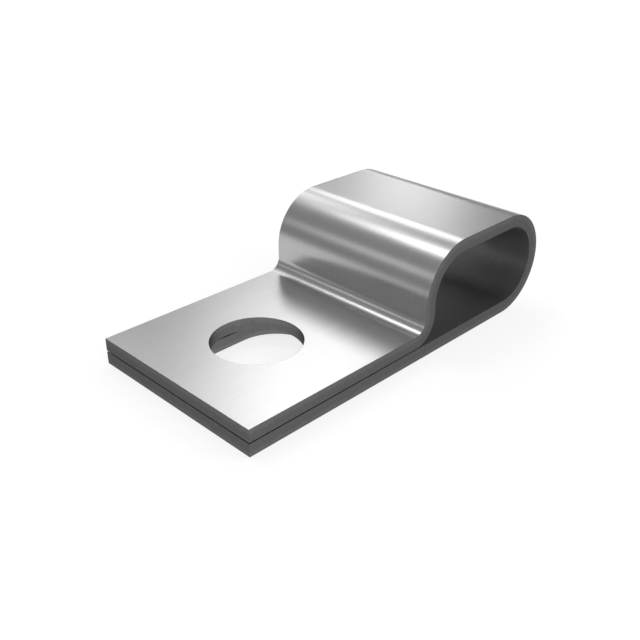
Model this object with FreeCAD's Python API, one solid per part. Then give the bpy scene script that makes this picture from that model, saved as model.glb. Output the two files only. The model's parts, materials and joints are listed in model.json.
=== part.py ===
import FreeCAD, Part
import math
import os

# A P clip folded from one strip of sheet steel: two flat leaves lie one on the other
# and carry the screw, and between them the strip runs round a flat-topped cable loop.
# Millimetres. X runs from the screw hole to the loop, Y across the strip, Z up.
# The origin is on the screw hole's axis, at the underside that lies on the wall or panel.

# Strip
strip_width = 15.0
sheet_thickness = 0.95

# Screw end: a round hole in the upper leaf over a slot in the lower one
leaf_gap = 0.08               # air left between the two leaves
screw_hole_diameter = 6.5     # clears an M6 screw
slot_travel = 3.1             # how much longer the slot is than it is wide
hole_to_free_end = 7.2        # hole axis to the two leaves' flush ends

# Cable loop
hole_to_loop_wall = 8.95      # hole axis to the outer face of the upright wall
opening_height = 6.0
flat_top_length = 5.6         # straight stretch between the shoulder and the far bend
root_bend_radius = 1.0        # in the corner between the upper leaf and the wall

# Heights
underside_of_upper_leaf = sheet_thickness + leaf_gap
top_of_upper_leaf = underside_of_upper_leaf + sheet_thickness
middle_of_gap = sheet_thickness + leaf_gap / 2
middle_of_opening = sheet_thickness + opening_height / 2

# The shoulder and the far bend both follow the opening's round ends
opening_end_radius = opening_height / 2

# The root bend keeps to nine tenths of the wall's height, so a straight stretch is left
wall_height = middle_of_opening - top_of_upper_leaf
root_radius = min(root_bend_radius, 0.9 * wall_height)
root_centre_height = top_of_upper_leaf + root_radius

# Places along the strip
free_end = -hole_to_free_end
root_centre = hole_to_loop_wall - root_radius
shoulder_centre = hole_to_loop_wall + sheet_thickness + opening_end_radius
far_bend_centre = shoulder_centre + flat_top_length

# How far a cutter runs past the sheet
overrun = sheet_thickness


def in_section(x, z):
    """A point on the strip's near edge, where its section is drawn."""
    return FreeCAD.Vector(x, -strip_width / 2, z)


def line(start, end):
    return Part.LineSegment(in_section(*start), in_section(*end)).toShape()


def arc(centre, radius, angles):
    """The arc about centre from the first angle to the last, in degrees from +X towards +Z."""
    first, last = angles
    on_arc = [
        in_section(
            centre[0] + radius * math.cos(math.radians(angle)),
            centre[1] + radius * math.sin(math.radians(angle)),
        )
        for angle in (first, (first + last) / 2, last)
    ]
    return Part.Arc(*on_arc).toShape()


def sheet_line(depth):
    """The folded line through the sheet at a depth from its cable side, upper leaf first."""
    upper_leaf = underside_of_upper_leaf + depth
    wall = hole_to_loop_wall + sheet_thickness - depth
    top = middle_of_opening + opening_end_radius + depth
    lower_leaf = sheet_thickness - depth
    root = (root_centre, root_centre_height)
    shoulder = (shoulder_centre, middle_of_opening)
    far_bend = (far_bend_centre, middle_of_opening)
    return [
        line((free_end, upper_leaf), (root_centre, upper_leaf)),
        arc(root, root_radius + sheet_thickness - depth, (-90, 0)),
        line((wall, root_centre_height), (wall, middle_of_opening)),
        arc(shoulder, opening_end_radius + depth, (180, 90)),
        line((shoulder_centre, top), (far_bend_centre, top)),
        arc(far_bend, opening_end_radius + depth, (90, -90)),
        line((far_bend_centre, lower_leaf), (free_end, lower_leaf)),
    ]


def folded_strip():
    """The strip's section between its two faces, drawn out across the strip's width."""
    cable_side = sheet_line(0)
    outside = sheet_line(sheet_thickness)
    lower_end = line((free_end, 0), (free_end, sheet_thickness))
    upper_end = line((free_end, underside_of_upper_leaf), (free_end, top_of_upper_leaf))
    section = Part.Wire(outside + [lower_end] + cable_side[::-1] + [upper_end])
    return Part.Face(section).extrude(FreeCAD.Vector(0, strip_width, 0))


def screw_hole():
    """The cutter for the upper leaf's round hole."""
    start = FreeCAD.Vector(0, 0, middle_of_gap)
    height = top_of_upper_leaf + overrun - middle_of_gap
    return Part.makeCylinder(screw_hole_diameter / 2, height, start)


def adjusting_slot():
    """The cutter for the lower leaf's slot, which lets the clip shift along X under its screw."""
    half_travel = slot_travel / 2
    radius = screw_hole_diameter / 2
    bottom = -overrun

    def corner(x, y):
        return FreeCAD.Vector(x, y, bottom)

    sides = [
        Part.LineSegment(corner(-half_travel, -radius), corner(half_travel, -radius)),
        Part.Arc(
            corner(half_travel, -radius),
            corner(half_travel + radius, 0),
            corner(half_travel, radius),
        ),
        Part.LineSegment(corner(half_travel, radius), corner(-half_travel, radius)),
        Part.Arc(
            corner(-half_travel, radius),
            corner(-half_travel - radius, 0),
            corner(-half_travel, -radius),
        ),
    ]
    outline = Part.Wire([side.toShape() for side in sides])
    return Part.Face(outline).extrude(FreeCAD.Vector(0, 0, middle_of_gap - bottom))


def clip_strip():
    return folded_strip().cut([screw_hole(), adjusting_slot()])


os.makedirs("parts", exist_ok=True)
clip = clip_strip().Solids[0]
clip.exportStep("parts/clip_strip.step")
print("clip_strip", round(clip.Volume, 2), "mm3", clip.isValid())
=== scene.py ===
import json
import math

import bpy
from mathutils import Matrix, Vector


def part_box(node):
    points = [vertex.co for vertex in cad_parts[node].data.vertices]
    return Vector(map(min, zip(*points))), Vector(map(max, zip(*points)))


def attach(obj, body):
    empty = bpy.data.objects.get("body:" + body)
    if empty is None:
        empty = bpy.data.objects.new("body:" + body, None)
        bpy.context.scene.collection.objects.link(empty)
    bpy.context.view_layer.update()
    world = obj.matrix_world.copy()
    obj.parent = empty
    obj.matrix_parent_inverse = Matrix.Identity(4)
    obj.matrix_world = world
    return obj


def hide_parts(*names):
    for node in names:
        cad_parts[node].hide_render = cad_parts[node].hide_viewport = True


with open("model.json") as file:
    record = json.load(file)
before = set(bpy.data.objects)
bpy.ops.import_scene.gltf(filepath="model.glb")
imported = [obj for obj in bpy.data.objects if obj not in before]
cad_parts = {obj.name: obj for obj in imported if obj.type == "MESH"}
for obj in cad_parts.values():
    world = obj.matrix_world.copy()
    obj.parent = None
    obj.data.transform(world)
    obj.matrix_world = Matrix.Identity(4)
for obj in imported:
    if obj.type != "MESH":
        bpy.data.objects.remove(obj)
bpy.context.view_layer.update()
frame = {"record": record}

MM = 0.001

# Sizes that the frame gives
strip_low, strip_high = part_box("clip_strip")
screw_hole = next(m for m in frame["record"]["mounts"] if m["name"] == "fixing_hole")
sheet_thickness = screw_hole["dims"]["length_mm"] * MM
hole_radius = screw_hole["dims"]["r_mm"] * MM
upper_leaf_middle = screw_hole["pos_m"][2]
strip_width = strip_high.y - strip_low.y
hole_to_free_end = -strip_low.x

# Sizes of the folds and the slot, the same as the solid's
hole_to_loop_wall = 8.95 * MM
root_bend_radius = 1.0 * MM
slot_travel = 3.1 * MM

# Fineness of the visible mesh
steps_in_a_bend = 45
steps_round_a_hole = 120
steps_in_an_eased_edge = 3
eased_edge = 0.02 * MM
corner_angle = math.radians(60)
same_point = 0.001 * MM

# Height of the lines in each finish
rolled_lines = 0.0003 * MM
sheared_lines = 0.004 * MM
punched_lines = 0.003 * MM

# Studio
lamp_distance = 12.0
clip_middle = (strip_low + strip_high) / 2
floor_colour = 0.36
floor_lift = 0.76
floor_radius = 4.0
floor_white_reach = 0.19
floor_fade_reach = 0.7
room_grey = 0.295
room_grey_overhead = 0.435

# The photograph's viewpoint, found from the clip's own straight edges
photo_place = Vector((-32.2945, -38.4019, 30.7082)) * MM
photo_azimuth = -135.0
photo_elevation = 28.53
photo_lens = 47.48


# Node helpers

def add_node(tree, kind, inputs=None, **settings):
    """A new node. Inputs are named or numbered, each with a socket to link or a value to set."""
    made = tree.nodes.new(kind)
    for name, value in settings.items():
        setattr(made, name, value)
    for name, value in (inputs or {}).items():
        if isinstance(value, bpy.types.NodeSocket):
            tree.links.new(value, made.inputs[name])
        else:
            made.inputs[name].default_value = value
    return made


def maths(tree, operation, *values):
    """The result of an operation on sockets and numbers."""
    node = add_node(tree, "ShaderNodeMath", dict(enumerate(values)), operation=operation)
    return node.outputs["Value"]


def vector_maths(tree, operation, *values):
    """The result of an operation on vectors."""
    node = add_node(tree, "ShaderNodeVectorMath", dict(enumerate(values)), operation=operation)
    return node.outputs["Vector"]


def spread_value(tree, source, low, high, out_low, out_high, interpolation="LINEAR"):
    """The source's values from low to high, spread from out_low to out_high."""
    node = add_node(
        tree,
        "ShaderNodeMapRange",
        {
            "Value": source,
            "From Min": low,
            "From Max": high,
            "To Min": out_low,
            "To Max": out_high,
        },
        interpolation_type=interpolation,
    )
    return node.outputs["Result"]


def new_group(name, kind, inputs, outputs):
    """An empty node group with its named sockets, and its input and output nodes."""
    tree = bpy.data.node_groups.new(name, kind)
    for label, (socket, default) in inputs.items():
        made = tree.interface.new_socket(label, in_out="INPUT", socket_type=socket)
        if default is not None:
            made.default_value = default
    for label, socket in outputs.items():
        tree.interface.new_socket(label, in_out="OUTPUT", socket_type=socket)
    given = tree.nodes.new("NodeGroupInput").outputs
    result = tree.nodes.new("NodeGroupOutput").inputs
    return tree, given, result


def add_modifier(piece, tree, values):
    """The tree as a modifier on the piece, with its inputs given by their names."""
    modifier = piece.modifiers.new(tree.name, "NODES")
    modifier.node_group = tree
    for item in tree.interface.items_tree:
        if item.item_type == "SOCKET" and item.name in values:
            modifier[item.identifier] = values[item.name]


def joined(tree, *parts):
    """The parts as one geometry."""
    node = add_node(tree, "GeometryNodeJoinGeometry")
    for part in parts:
        tree.links.new(part, node.inputs["Geometry"])
    return node.outputs["Geometry"]


def moved_along(tree, mesh, distance):
    """The mesh moved along X."""
    way = add_node(tree, "ShaderNodeCombineXYZ", {"X": distance})
    node = add_node(
        tree,
        "GeometryNodeTransform",
        {"Geometry": mesh, "Translation": way.outputs["Vector"]},
    )
    return node.outputs["Geometry"]


def with_value(tree, geometry, name, value, data_type, domain):
    """The geometry with a named value kept on each point, edge or face."""
    node = add_node(
        tree,
        "GeometryNodeStoreNamedAttribute",
        {"Geometry": geometry, "Name": name, "Value": value},
        data_type=data_type,
        domain=domain,
    )
    return node.outputs["Geometry"]


def kept_vector(tree, name):
    """A vector that the geometry keeps under a name, taken apart."""
    kept = add_node(
        tree, "GeometryNodeInputNamedAttribute", {"Name": name}, data_type="FLOAT_VECTOR"
    )
    return add_node(tree, "ShaderNodeSeparateXYZ", {0: kept.outputs["Attribute"]}).outputs


def with_finish(tree, geometry, finish, faces=True):
    """The geometry with a finish on the chosen faces, or on all of them."""
    node = add_node(
        tree,
        "GeometryNodeSetMaterial",
        {"Geometry": geometry, "Selection": faces, "Material": finish},
    )
    return node.outputs["Geometry"]


def is_corner(tree):
    """Whether an edge is far sharper than a step of a bend."""
    angle = add_node(tree, "GeometryNodeInputMeshEdgeAngle").outputs["Unsigned Angle"]
    return maths(tree, "GREATER_THAN", angle, corner_angle)


# The clip's shape: a pierced blank, folded

def fold_line_corners():
    """The sharp corners of the line down the middle of the sheet, each with its bend's radius."""
    half_sheet = sheet_thickness / 2
    root_radius = root_bend_radius + half_sheet
    wall = hole_to_loop_wall + half_sheet
    loop_top = strip_high.z - half_sheet
    loop_far = strip_high.x - half_sheet
    lower_leaf = half_sheet
    loop_radius = (loop_top - lower_leaf) / 2
    corners = [
        ((strip_low.x, 0, upper_leaf_middle), 0),
        ((wall, 0, upper_leaf_middle), root_radius),
        ((wall, 0, loop_top), loop_radius),
        ((loop_far, 0, loop_top), loop_radius),
        ((loop_far, 0, lower_leaf), loop_radius),
        ((strip_low.x, 0, lower_leaf), 0),
    ]
    mesh = bpy.data.meshes.new("fold_line")
    edges = [(i, i + 1) for i in range(len(corners) - 1)]
    mesh.from_pydata([place for place, _ in corners], edges, [])
    radii = mesh.attributes.new("bend_radius", "FLOAT", "POINT")
    radii.data.foreach_set("value", [radius for _, radius in corners])
    line = bpy.data.objects.new("fold_line", mesh)
    bpy.context.scene.collection.objects.link(line)
    return line


def fold_line_group():
    """Rounds the corners into bends and joins the whole line into one curve."""
    tree, given, result = new_group(
        "Fold line",
        "GeometryNodeTree",
        {
            "Corners": ("NodeSocketGeometry", None),
            "Bend Steps": ("NodeSocketInt", steps_in_a_bend),
        },
        {"Curve": "NodeSocketGeometry"},
    )
    sharp = add_node(tree, "GeometryNodeMeshToCurve", {"Mesh": given["Corners"]})
    radius = add_node(tree, "GeometryNodeInputNamedAttribute", {"Name": "bend_radius"})
    rounded = add_node(
        tree,
        "GeometryNodeFilletCurve",
        {
            "Curve": sharp.outputs["Curve"],
            "Count": given["Bend Steps"],
            "Radius": radius.outputs["Attribute"],
            "Limit Radius": True,
        },
        mode="POLY",
    )
    edges = add_node(tree, "GeometryNodeCurveToMesh", {"Curve": rounded.outputs["Curve"]})
    single = add_node(
        tree,
        "GeometryNodeMergeByDistance",
        {"Geometry": edges.outputs["Mesh"], "Distance": same_point},
    )
    line = add_node(tree, "GeometryNodeMeshToCurve", {"Mesh": single.outputs["Geometry"]})
    tree.links.new(line.outputs["Curve"], result["Curve"])
    return tree


def add_fold_line(tree, given, fold_line):
    """The fold line from the tree's own corners and bend steps, and its length."""
    corners = add_node(tree, "GeometryNodeObjectInfo", {"Object": given["Corners"]})
    guide = add_node(
        tree,
        "GeometryNodeGroup",
        {"Corners": corners.outputs["Geometry"], "Bend Steps": given["Bend Steps"]},
        node_tree=fold_line,
    ).outputs["Curve"]
    return guide, add_node(tree, "GeometryNodeCurveLength", {"Curve": guide}).outputs["Length"]


def blank_tree(fold_line):
    """The flat strip along X, with rows of points at each step of a bend and its two holes."""
    tree, given, result = new_group(
        "Pierced blank",
        "GeometryNodeTree",
        {
            "Corners": ("NodeSocketObject", None),
            "Bend Steps": ("NodeSocketInt", steps_in_a_bend),
            "Strip Width": ("NodeSocketFloat", strip_width),
            "Sheet Thickness": ("NodeSocketFloat", sheet_thickness),
            "Hole Radius": ("NodeSocketFloat", hole_radius),
            "Hole to Free End": ("NodeSocketFloat", hole_to_free_end),
            "Slot Travel": ("NodeSocketFloat", slot_travel),
        },
        {"Blank": "NodeSocketGeometry"},
    )
    guide, line_length = add_fold_line(tree, given, fold_line)

    # The fold line pulled out straight, with the sheet's section along it
    along = add_node(tree, "GeometryNodeSplineParameter")
    place = add_node(tree, "ShaderNodeCombineXYZ", {"X": along.outputs["Length"]})
    straight = add_node(
        tree,
        "GeometryNodeSetPosition",
        {"Geometry": guide, "Position": place.outputs["Vector"]},
    )
    upright = add_node(
        tree,
        "GeometryNodeSetCurveNormal",
        {"Curve": straight.outputs["Geometry"]},
        mode="Z_UP",
    )
    section = add_node(
        tree,
        "GeometryNodeCurvePrimitiveQuadrilateral",
        {"Width": given["Strip Width"], "Height": given["Sheet Thickness"]},
        mode="RECTANGLE",
    )
    slab = add_node(
        tree,
        "GeometryNodeCurveToMesh",
        {
            "Curve": upright.outputs["Curve"],
            "Profile Curve": section.outputs["Curve"],
            "Fill Caps": True,
        },
    )

    # The round hole near one end and the slot near the other
    punch = add_node(
        tree,
        "GeometryNodeMeshCylinder",
        {
            "Vertices": steps_round_a_hole,
            "Radius": given["Hole Radius"],
            "Depth": maths(tree, "MULTIPLY", given["Sheet Thickness"], 3.0),
        },
    ).outputs["Mesh"]
    hole = moved_along(tree, punch, given["Hole to Free End"])
    slot_middle = maths(tree, "SUBTRACT", line_length, given["Hole to Free End"])
    slot_ends = [
        moved_along(
            tree, punch, maths(tree, "MULTIPLY_ADD", given["Slot Travel"], side, slot_middle)
        )
        for side in (-0.5, 0.5)
    ]
    slot = add_node(tree, "GeometryNodeConvexHull", {"Geometry": joined(tree, *slot_ends)})
    pierced = add_node(
        tree,
        "GeometryNodeMeshBoolean",
        {
            "Mesh 1": slab.outputs["Mesh"],
            "Mesh 2": joined(tree, hole, slot.outputs["Convex Hull"]),
        },
        operation="DIFFERENCE",
        solver="EXACT",
    )

    # The rims to ease: right-angled edges that lie in either face of the sheet
    on_blank = add_node(tree, "GeometryNodeInputPosition").outputs["Position"]
    depth = add_node(tree, "ShaderNodeSeparateXYZ", {0: on_blank}).outputs["Z"]
    quarter_sheet = maths(tree, "MULTIPLY", given["Sheet Thickness"], 0.25)
    is_in_face = maths(tree, "GREATER_THAN", maths(tree, "ABSOLUTE", depth), quarter_sheet)
    is_rim = maths(tree, "MULTIPLY", is_corner(tree), is_in_face)
    weighted = with_value(
        tree, pierced.outputs["Mesh"], "bevel_weight_edge", is_rim, "FLOAT", "EDGE"
    )
    tree.links.new(weighted, result["Blank"])
    return tree


def fold_tree(fold_line):
    """Bends the eased blank round the fold line, and gives each face its finish."""
    tree, given, result = new_group(
        "Folded strip",
        "GeometryNodeTree",
        {
            "Blank": ("NodeSocketGeometry", None),
            "Corners": ("NodeSocketObject", None),
            "Bend Steps": ("NodeSocketInt", steps_in_a_bend),
            "Outer Finish": ("NodeSocketMaterial", None),
            "Cable Side Finish and Painted Shade": ("NodeSocketMaterial", None),
            "Sheared Finish and Painted Shade": ("NodeSocketMaterial", None),
            "Punched Finish and Painted Light": ("NodeSocketMaterial", None),
            "Strip Width": ("NodeSocketFloat", strip_width),
        },
        {"Strip": "NodeSocketGeometry"},
    )
    guide, line_length = add_fold_line(tree, given, fold_line)

    # Where each point lies on the flat blank, and which way each face looks there
    flat_place = add_node(tree, "GeometryNodeInputPosition").outputs["Position"]
    flat_normal = add_node(tree, "GeometryNodeInputNormal").outputs["True Normal"]
    placed = with_value(
        tree, given["Blank"], "blank_place", flat_place, "FLOAT_VECTOR", "POINT"
    )
    marked = with_value(tree, placed, "blank_normal", flat_normal, "FLOAT_VECTOR", "FACE")

    # Each point goes to its place along the fold line, and out from it by its depth in the sheet
    apart = add_node(tree, "ShaderNodeSeparateXYZ", {0: flat_place}).outputs
    on_line = add_node(
        tree,
        "GeometryNodeSampleCurve",
        {"Curves": guide, "Length": apart["X"]},
        mode="LENGTH",
    ).outputs
    across_line = vector_maths(tree, "CROSS_PRODUCT", on_line["Tangent"], (0.0, 1.0, 0.0))
    outward = vector_maths(tree, "NORMALIZE", across_line)
    through_sheet = add_node(
        tree, "ShaderNodeVectorMath", {0: outward, "Scale": apart["Z"]}, operation="SCALE"
    ).outputs["Vector"]
    across = add_node(tree, "ShaderNodeCombineXYZ", {"Y": apart["Y"]}).outputs["Vector"]
    offset = vector_maths(tree, "ADD", through_sheet, across)
    folded = add_node(
        tree,
        "GeometryNodeSetPosition",
        {
            "Geometry": marked,
            "Position": vector_maths(tree, "ADD", on_line["Position"], offset),
        },
    )

    # The eased edges are the faces that look neither straight out of the sheet nor along it,
    # and an edge of the mesh with one of them on one side only is at their border
    facing = kept_vector(tree, "blank_normal")["Z"]
    is_eased = maths(tree, "COMPARE", maths(tree, "ABSOLUTE", facing), 0.5, 0.48)
    eased_sides = add_node(
        tree, "GeometryNodeFieldOnDomain", {"Value": is_eased}, domain="FACE", data_type="FLOAT"
    ).outputs["Value"]
    is_border = maths(tree, "COMPARE", eased_sides, 0.5, 0.1)
    is_crease = maths(tree, "MAXIMUM", is_border, is_corner(tree))
    smooth = add_node(
        tree,
        "GeometryNodeSetShadeSmooth",
        {"Geometry": folded.outputs["Geometry"], "Shade Smooth": True},
        domain="FACE",
    )
    creased = add_node(
        tree,
        "GeometryNodeSetShadeSmooth",
        {
            "Geometry": smooth.outputs["Geometry"],
            "Selection": is_crease,
            "Shade Smooth": False,
        },
        domain="EDGE",
    )

    # The walls of the hole and the slot lie inside the blank's outline
    on_blank = kept_vector(tree, "blank_place")
    from_mid_length = maths(tree, "MULTIPLY_ADD", line_length, -0.5, on_blank["X"])
    is_within = []
    for place, span in ((from_mid_length, line_length), (on_blank["Y"], given["Strip Width"])):
        limit = maths(tree, "MULTIPLY_ADD", span, 0.5, -2 * eased_edge)
        is_within.append(maths(tree, "LESS_THAN", maths(tree, "ABSOLUTE", place), limit))
    is_inside = maths(tree, "MULTIPLY", *is_within)

    # Finishes, some with painted shade and painted light in their greys: everything that was cut,
    # then the outer face and the cable side
    is_outer = maths(tree, "GREATER_THAN", facing, 0.99)
    is_inner = maths(tree, "LESS_THAN", facing, -0.99)
    strip = add_node(
        tree, "GeometryNodeRealizeInstances", {"Geometry": creased.outputs["Geometry"]}
    ).outputs["Geometry"]
    strip = with_finish(tree, strip, given["Sheared Finish and Painted Shade"])
    strip = with_finish(tree, strip, given["Punched Finish and Painted Light"], is_inside)
    strip = with_finish(tree, strip, given["Outer Finish"], is_outer)
    strip = with_finish(tree, strip, given["Cable Side Finish and Painted Shade"], is_inner)
    tree.links.new(strip, result["Strip"])
    return tree


def folded_strip(outer_finish, cable_side_finish_and_painted_shade, sheared_finish_and_painted_shade, punched_finish_and_painted_light):
    """The whole clip as one plain mesh."""
    corners = fold_line_corners()
    fold_line = fold_line_group()
    draft = bpy.data.objects.new("clip_draft", bpy.data.meshes.new("clip_draft"))
    bpy.context.scene.collection.objects.link(draft)
    add_modifier(draft, blank_tree(fold_line), {"Corners": corners})
    easing = draft.modifiers.new("Eased edges", "BEVEL")
    easing.width = eased_edge
    easing.segments = steps_in_an_eased_edge
    easing.limit_method = "WEIGHT"
    easing.use_clamp_overlap = False
    add_modifier(
        draft,
        fold_tree(fold_line),
        {
            "Corners": corners,
            "Outer Finish": outer_finish,
            "Cable Side Finish and Painted Shade": cable_side_finish_and_painted_shade,
            "Sheared Finish and Painted Shade": sheared_finish_and_painted_shade,
            "Punched Finish and Painted Light": punched_finish_and_painted_light,
        },
    )
    evening = draft.modifiers.new("Flat faces stay flat", "WEIGHTED_NORMAL")
    evening.keep_sharp = True
    ready = draft.evaluated_get(bpy.context.evaluated_depsgraph_get())
    mesh = bpy.data.meshes.new_from_object(ready)
    mesh.name = "folded_strip"
    strip = bpy.data.objects.new("folded_strip", mesh)
    bpy.context.scene.collection.objects.link(strip)
    for scaffold in (draft, corners):
        bpy.data.objects.remove(scaffold)
    return strip


# Finishes

def stretched_grain_group():
    """Noise on the flat blank, from 0 to 1, with its own size along, across and through it."""
    tree, given, result = new_group(
        "Stretched grain",
        "ShaderNodeTree",
        {
            "Size Along": ("NodeSocketFloat", 6 * MM),
            "Size Across": ("NodeSocketFloat", 0.06 * MM),
            "Size Through": ("NodeSocketFloat", 1 * MM),
            "Detail": ("NodeSocketFloat", 2.0),
        },
        {"Grain": "NodeSocketFloat"},
    )
    place = add_node(tree, "ShaderNodeAttribute", attribute_name="blank_place")
    sizes = add_node(
        tree,
        "ShaderNodeCombineXYZ",
        {"X": given["Size Along"], "Y": given["Size Across"], "Z": given["Size Through"]},
    )
    noise = add_node(
        tree,
        "ShaderNodeTexNoise",
        {
            "Vector": vector_maths(
                tree, "DIVIDE", place.outputs["Vector"], sizes.outputs["Vector"]
            ),
            "Scale": 1.0,
            "Detail": given["Detail"],
            "Roughness": 0.55,
        },
    )
    tree.links.new(noise.outputs["Fac"], result["Grain"])
    return tree


def hairlines_group():
    """Fine straight scratches at an angle to the strip: 1 in a scratch and 0 between."""
    tree, given, result = new_group(
        "Hairlines",
        "ShaderNodeTree",
        {
            "Angle": ("NodeSocketFloat", 0.4),
            "Width": ("NodeSocketFloat", 0.03 * MM),
            "Length": ("NodeSocketFloat", 3 * MM),
            "Threshold": ("NodeSocketFloat", 0.68),
        },
        {"Mask": "NodeSocketFloat"},
    )
    place = add_node(tree, "ShaderNodeAttribute", attribute_name="blank_place")
    turned = add_node(
        tree,
        "ShaderNodeVectorRotate",
        {"Vector": place.outputs["Vector"], "Angle": given["Angle"]},
        rotation_type="Z_AXIS",
    )
    sizes = add_node(
        tree,
        "ShaderNodeCombineXYZ",
        {"X": given["Length"], "Y": given["Width"], "Z": given["Length"]},
    )
    noise = add_node(
        tree,
        "ShaderNodeTexNoise",
        {
            "Vector": vector_maths(
                tree, "DIVIDE", turned.outputs["Vector"], sizes.outputs["Vector"]
            ),
            "Scale": 1.0,
            "Detail": 0.0,
        },
    )
    full = maths(tree, "ADD", given["Threshold"], 0.06)
    mask = spread_value(
        tree, noise.outputs["Fac"], given["Threshold"], full, 0.0, 1.0, "SMOOTHSTEP"
    )
    tree.links.new(mask, result["Mask"])
    return tree


def add_grain(tree, grain, along, across, through, detail):
    """Grain with its sizes in millimetres, from 0 to 1."""
    node = add_node(
        tree,
        "ShaderNodeGroup",
        {
            "Size Along": along * MM,
            "Size Across": across * MM,
            "Size Through": through * MM,
            "Detail": detail,
        },
        node_tree=grain,
    )
    return node.outputs["Grain"]


def mixed_grey(tree, factor, dark, light):
    """A grey between dark and light, very slightly cool."""
    coolness = 1.006
    node = add_node(
        tree,
        "ShaderNodeMix",
        {
            "Factor": factor,
            6: (dark, dark, dark * coolness, 1.0),
            7: (light, light, light * coolness, 1.0),
        },
        data_type="RGBA",
    )
    return node.outputs[2]


def new_material(name):
    """A material, with its tree and its shader."""
    material = bpy.data.materials.new(name)
    material.use_nodes = True
    return material, material.node_tree, material.node_tree.nodes["Principled BSDF"]


def add_relief(tree, shader, height, distance):
    """Raises the height's lines by a distance."""
    bump = add_node(tree, "ShaderNodeBump", {"Height": height, "Distance": distance})
    tree.links.new(bump.outputs["Normal"], shader.inputs["Normal"])


def rolled_steel(name, groups, greys, roughnesses):
    """A face of the strip as it was rolled: fine lines along it, faint streaks, light handling."""
    grain, hairlines = groups
    material, tree, shader = new_material(name)
    shader.inputs["Metallic"].default_value = 1.0
    fine = add_grain(tree, grain, 5, 0.07, 5, 2.0)
    broad = add_grain(tree, grain, 22, 0.6, 5, 3.0)
    handled = add_grain(tree, grain, 5, 3.5, 5, 3.0)
    scratch = add_node(
        tree,
        "ShaderNodeGroup",
        {"Angle": 0.5, "Width": 0.035 * MM, "Length": 2.5 * MM, "Threshold": 0.72},
        node_tree=hairlines,
    ).outputs["Mask"]
    streaks = maths(tree, "ADD", broad, handled)
    lined = maths(tree, "MULTIPLY_ADD", streaks, 0.4, fine)
    tone = spread_value(tree, lined, 0.5, 1.3, 0.0, 1.0)
    tree.links.new(mixed_grey(tree, tone, *greys), shader.inputs["Base Color"])
    dullness = spread_value(tree, streaks, 0.7, 1.3, *roughnesses)
    tree.links.new(dullness, shader.inputs["Roughness"])
    add_relief(tree, shader, maths(tree, "MULTIPLY_ADD", scratch, -0.25, fine), rolled_lines)
    return material


def cut_steel(name, grain, greys, roughnesses, line_height):
    """A sheared or punched face: upright lines, smoother beside the outer face than below it."""
    material, tree, shader = new_material(name)
    shader.inputs["Metallic"].default_value = 1.0
    shader.inputs["Specular Tint"].default_value = (0.2, 0.2, 0.2, 1.0)
    upright = add_grain(tree, grain, 0.06, 0.06, 1.6, 2.0)
    ragged = add_grain(tree, grain, 0.5, 0.5, 0.5, 3.0)
    place = add_node(tree, "ShaderNodeAttribute", attribute_name="blank_place")
    height = add_node(tree, "ShaderNodeSeparateXYZ", {0: place.outputs["Vector"]}).outputs["Z"]
    ragged_height = maths(tree, "MULTIPLY_ADD", ragged, 0.5 * MM, height)
    smooth_zone = spread_value(tree, ragged_height, 0.3 * MM, 0.42 * MM, 0.0, 1.0)
    toned = maths(tree, "MULTIPLY_ADD", smooth_zone, 0.3, upright)
    tone = spread_value(tree, toned, 0.2, 1.1, 0.0, 1.0)
    tree.links.new(mixed_grey(tree, tone, *greys), shader.inputs["Base Color"])
    dullness = spread_value(tree, smooth_zone, 0.0, 1.0, *roughnesses)
    tree.links.new(dullness, shader.inputs["Roughness"])
    add_relief(tree, shader, upright, line_height)
    return material


# Studio

def direction(azimuth, elevation):
    """The unit vector at an azimuth in degrees from +Y towards +X, and an elevation."""
    turn, rise = math.radians(azimuth), math.radians(elevation)
    return Vector(
        (math.sin(turn) * math.cos(rise), math.cos(turn) * math.cos(rise), math.sin(rise))
    )


def soft_lamp(name, azimuth, elevation, spread, brightness):
    """A round lamp, spread degrees from its middle to its rim, as bright as a mirror shows it."""
    lamp = bpy.data.lights.new(name, "AREA")
    lamp.shape = "DISK"
    radius = lamp_distance * math.tan(math.radians(spread))
    lamp.size = 2 * radius
    lamp.energy = brightness * math.pi * math.pi * radius**2
    piece = bpy.data.objects.new(name, lamp)
    away = direction(azimuth, elevation)
    piece.location = clip_middle + away * lamp_distance
    piece.rotation_mode = "QUATERNION"
    piece.rotation_quaternion = away.to_track_quat("Z", "Y")
    bpy.context.scene.collection.objects.link(piece)


def floor_paper():
    """Pale paper that the camera, and what metal mirrors, see lifted to white near the clip.

    Far from the clip it fades softly into the grey of the room.
    """
    material, tree, shader = new_material("floor_paper")
    shader.inputs["Roughness"].default_value = 1.0
    shader.inputs["Specular IOR Level"].default_value = 0.0
    shader.inputs["Emission Color"].default_value = (1.0, 1.0, 1.0, 1.0)
    place = add_node(tree, "ShaderNodeTexCoord").outputs["Object"]
    away = add_node(tree, "ShaderNodeVectorMath", {0: place}, operation="LENGTH")
    nearness = spread_value(
        tree,
        away.outputs["Value"],
        floor_white_reach,
        floor_fade_reach,
        1.0,
        0.0,
        "SMOOTHSTEP",
    )
    tree.links.new(mixed_grey(tree, nearness, 0.0, floor_colour), shader.inputs["Base Color"])
    ray = add_node(tree, "ShaderNodeLightPath").outputs
    is_seen = maths(tree, "MAXIMUM", ray["Is Camera Ray"], ray["Is Glossy Ray"])
    is_seen = maths(tree, "MAXIMUM", is_seen, ray["Is Transmission Ray"])
    glow = add_node(
        tree,
        "ShaderNodeMix",
        {"Factor": nearness, "A": room_grey, "B": maths(tree, "MULTIPLY", is_seen, floor_lift)},
        data_type="FLOAT",
    )
    tree.links.new(glow.outputs["Result"], shader.inputs["Emission Strength"])
    return material


def add_floor():
    bpy.ops.mesh.primitive_circle_add(vertices=96, radius=floor_radius, fill_type="NGON")
    floor = bpy.context.object
    floor.name = "floor"
    floor.data.materials.append(floor_paper())


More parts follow.
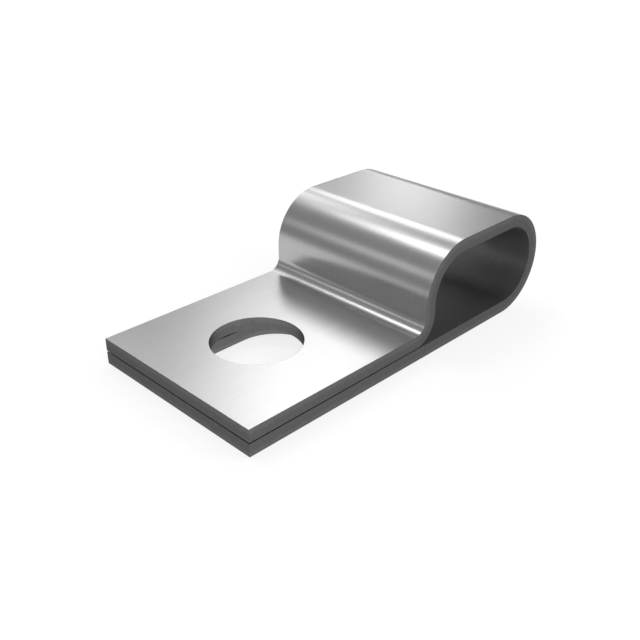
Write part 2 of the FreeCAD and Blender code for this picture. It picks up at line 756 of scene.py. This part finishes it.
def add_world():
    """A grey studio, a little lighter overhead."""
    world = bpy.data.worlds.new("studio")
    bpy.context.scene.world = world
    world.use_nodes = True
    tree = world.node_tree
    way = add_node(tree, "ShaderNodeTexCoord").outputs["Generated"]
    height = add_node(tree, "ShaderNodeSeparateXYZ", {0: way}).outputs["Z"]
    grey = spread_value(tree, height, 0.0, 1.0, room_grey, room_grey_overhead)
    background = tree.nodes["Background"]
    background.inputs["Color"].default_value = (1.0, 1.0, 1.0, 1.0)
    tree.links.new(grey, background.inputs["Strength"])


def add_camera():
    """The camera at the photograph's viewpoint."""
    eye = bpy.data.cameras.new("photo_view")
    eye.sensor_width = 36.0
    eye.lens = photo_lens
    eye.clip_start = 0.001
    eye.clip_end = 10.0
    camera = bpy.data.objects.new("photo_view", eye)
    camera.location = photo_place
    look = -direction(photo_azimuth, photo_elevation)
    camera.rotation_mode = "QUATERNION"
    camera.rotation_quaternion = look.to_track_quat("-Z", "Y")
    bpy.context.scene.collection.objects.link(camera)
    bpy.context.scene.camera = camera


add_camera()
bpy.context.scene.view_settings.view_transform = "Standard"

# The clip. Each finish has its darkest and lightest grey and the roughnesses at its two ends. The
# greys of the cable side and of the sheared edge hold painted shade, and those of the punched wall
# painted light
grain = stretched_grain_group()
hairlines = hairlines_group()
clip = folded_strip(
    rolled_steel("bright_face", (grain, hairlines), (0.42, 0.49), (0.279, 0.289)),
    # The cable side's greys are darker than the outer face's as painted shade of the inside of the
    # loop; its higher roughness is a duller finish
    rolled_steel("cable_side", (grain, hairlines), (0.365, 0.435), (0.37, 0.41)),
    # The sheared edge's greys, far darker than steel, are partly the dull steel of a cut edge and
    # partly painted shade
    cut_steel("sheared_edge", grain, (0.128, 0.192), (0.59, 0.55), sheared_lines),
    # The punched wall's greys are lighter than the sheared edge's, partly as a burnished wall and
    # partly as painted light that makes up for the little light reaching inside the holes
    cut_steel("punched_wall", grain, (0.145, 0.218), (0.46, 0.41), punched_lines),
)
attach(clip, "root")
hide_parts("clip_strip")

# The studio. Each lamp has its azimuth, elevation and spread in degrees, and its brightness
add_floor()
add_world()
soft_lamp("far_lamp", 44.9, 35.1, 8.0, 3.34)
soft_lamp("high_lamp", -5.2, 60.6, 8.1, 5.13)
soft_lamp("left_lamp", -49.6, 25.8, 5.3, 1.55)
soft_lamp("low_lamp", 51.8, 16.5, 3.8, 3.29)
soft_lamp("middle_lamp", 20.8, 39.5, 8.7, 2.22)
soft_lamp("back_lamp", 0.0, 22.0, 9.0, 0.9)
side_lamps = ((90.0, 11.0), (132.0, 16.0), (180.0, 14.0), (-132.0, 11.0), (-90.0, 11.0))
for azimuth, spread in side_lamps:
    soft_lamp("side_lamp", azimuth, 26.0, spread, 1.8)
